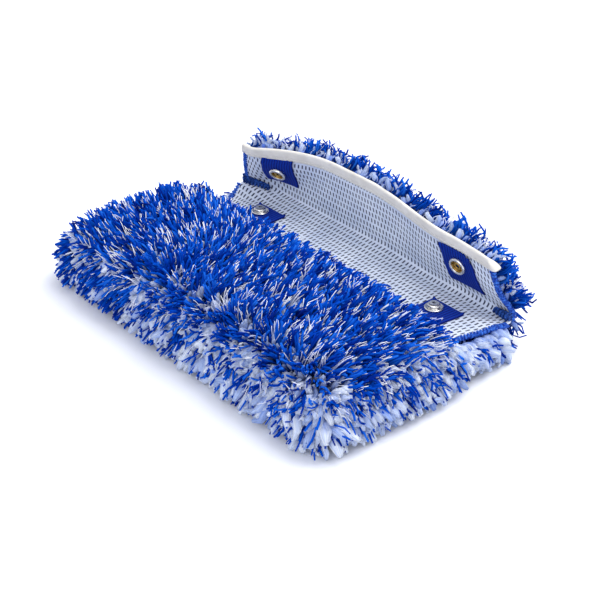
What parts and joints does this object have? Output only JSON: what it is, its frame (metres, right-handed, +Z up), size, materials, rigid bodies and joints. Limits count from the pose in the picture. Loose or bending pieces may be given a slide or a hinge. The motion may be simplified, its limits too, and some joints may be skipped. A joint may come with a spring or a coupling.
{
  "type": "wash mitt",
  "caption": "Rectangular envelope wash mitt of long blue pile on pale knit, with a tape-bound flap that folds over the mouth of the pocket and presses shut on metal snaps.",
  "frame": {"origin": "middle of the footprint (pile included), on the surface the mitt lies on", "axes": "+X along the mouth of the pocket, +Y from the closed end towards the flap, +Z up"},
  "size_m": [0.286, 0.1844, 0.0751],
  "materials": {
    "blue_pile": "long cut pile of twisted microfibre yarn, royal blue with thin white ends",
    "pale_knit": "pale blue-white knit reverse with short dark dashes of pile root",
    "cream_tape": "soft cream binding tape, folded and lockstitched",
    "blue_webbing": "ribbed royal blue webbing",
    "blue_thread": "overlocked blue textured thread",
    "nickel": "bright nickel plate on pressed brass",
    "brass": "bare spring brass wire"
  },
  "bodies": {
    "pad": {"bottom_backing": "pale_knit", "bottom_pile": "blue_pile", "crease_backing": "pale_knit", "crease_pile": "blue_pile", "side_seam_left": "blue_thread", "side_seam_right": "blue_thread", "closed_end_seam": "blue_thread", "strip_overlock_left": "blue_thread", "strip_overlock_right": "blue_thread", "corner_dart_left": "blue_thread", "corner_dart_right": "blue_thread", "strip_patch_left": "blue_webbing", "strip_patch_right": "blue_webbing", "snap_stud_left": "nickel", "snap_stud_right": "nickel", "stud_post_left": "nickel", "stud_post_right": "nickel"},
    "flap": {"flap_backing": "pale_knit", "flap_pile": "blue_pile", "flap_binding": "cream_tape", "flap_overlock_left": "blue_thread", "flap_overlock_right": "blue_thread", "flap_patch_left": "blue_webbing", "flap_patch_right": "blue_webbing", "snap_socket_left": "nickel", "snap_socket_right": "nickel", "socket_spring_left": "brass", "socket_spring_right": "brass", "socket_post_left": "nickel", "socket_post_right": "nickel"},
    "top_panel": {"top_backing": "pale_knit", "top_pile": "blue_pile", "mouth_overlock": "blue_thread"}
  },
  "joints": [
    {"name": "flap_fold", "type": "hinge", "parent": "pad", "child": "flap", "pos_m": [0, 0.07112, 0.02705], "axis": [1, 0, 0], "range_deg": [-60, 71], "deforming": ["crease_backing", "crease_pile"]},
    {"name": "mouth_lift", "type": "hinge", "parent": "pad", "child": "top_panel", "pos_m": [0, -0.07618, 0.0295], "axis": [1, 0, 0], "range_deg": [0, 12]}
  ]
}
